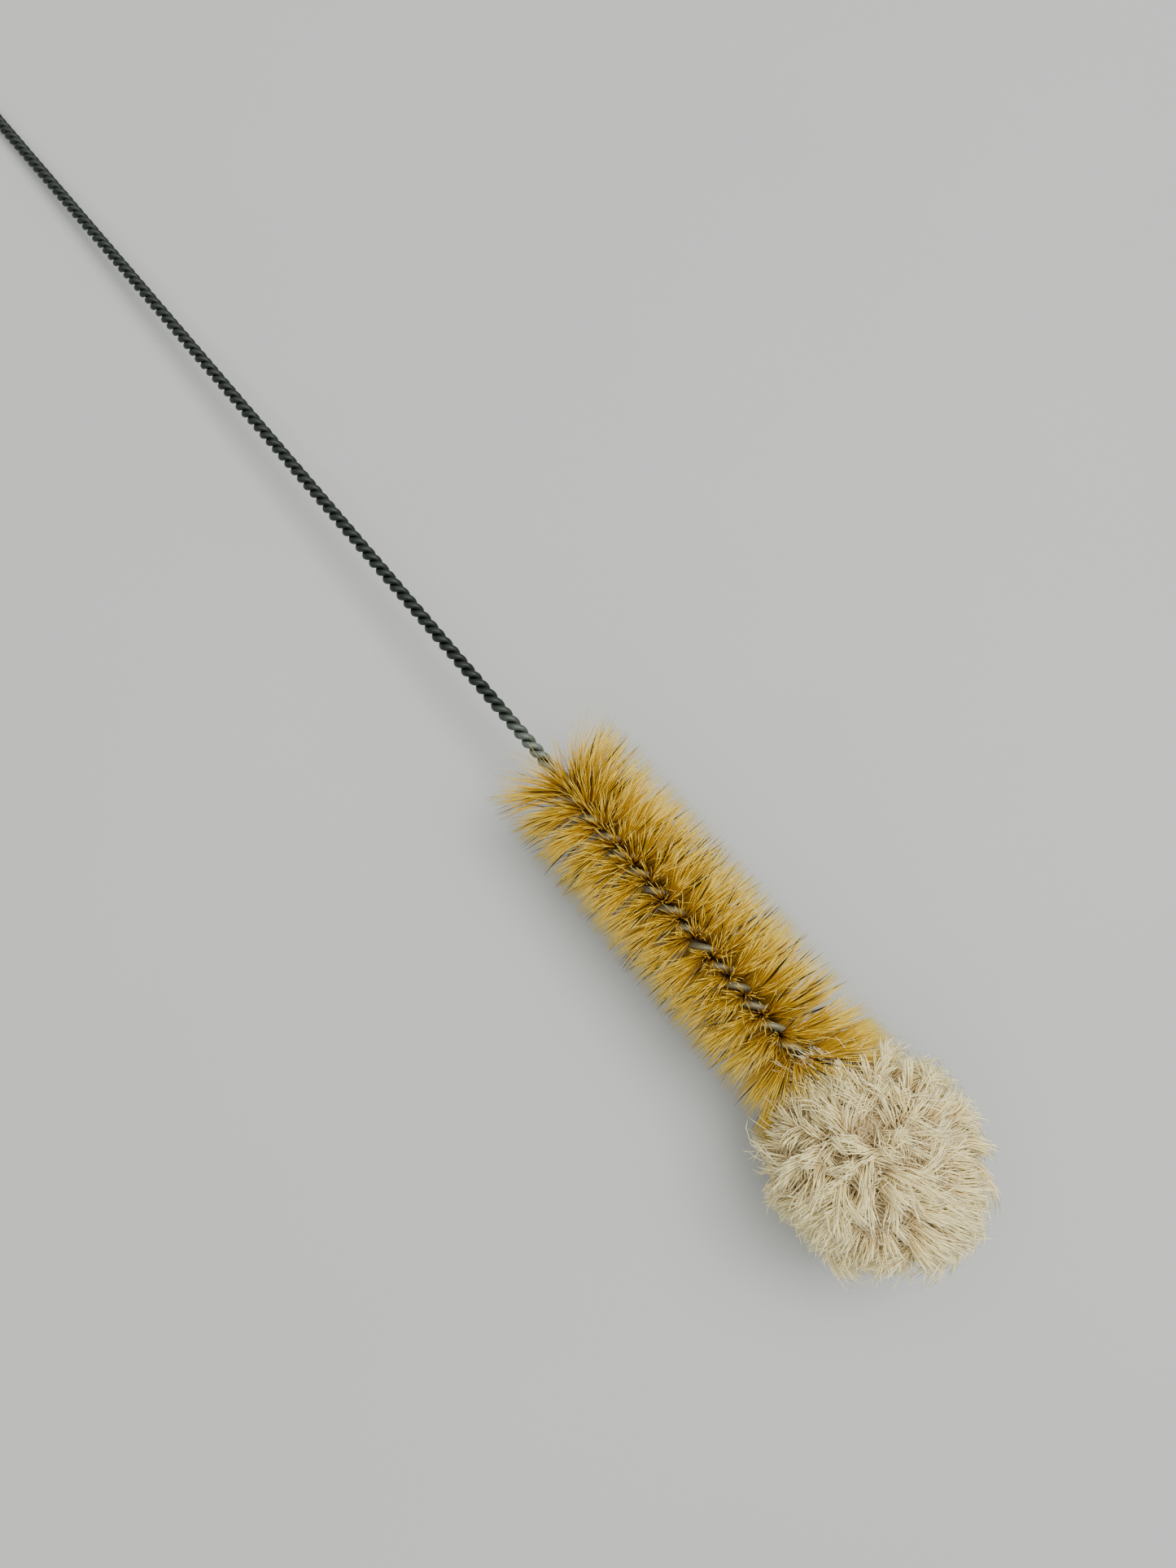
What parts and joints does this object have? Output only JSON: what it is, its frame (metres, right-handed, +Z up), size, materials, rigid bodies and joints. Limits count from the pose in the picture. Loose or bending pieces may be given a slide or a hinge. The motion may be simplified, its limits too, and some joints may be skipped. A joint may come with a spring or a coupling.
{
  "type": "bottle brush",
  "caption": "Twisted-wire bottle brush with a round bristle section, a cotton mop tip and a hanging eye, lying on a table.",
  "frame": {"origin": "on the table, under the middle of the brush's box", "axes": "+X from the eye of the handle to the cotton mop, +Z up from the table"},
  "size_m": [0.478, 0.0548, 0.0548],
  "materials": {
    "wire": "satin",
    "bristle": "satin",
    "cotton": "matte"
  },
  "bodies": {
    "root": {"wire_stem": "wire", "bristles": "bristle", "cotton_mop": "cotton"}
  },
  "joints": []
}
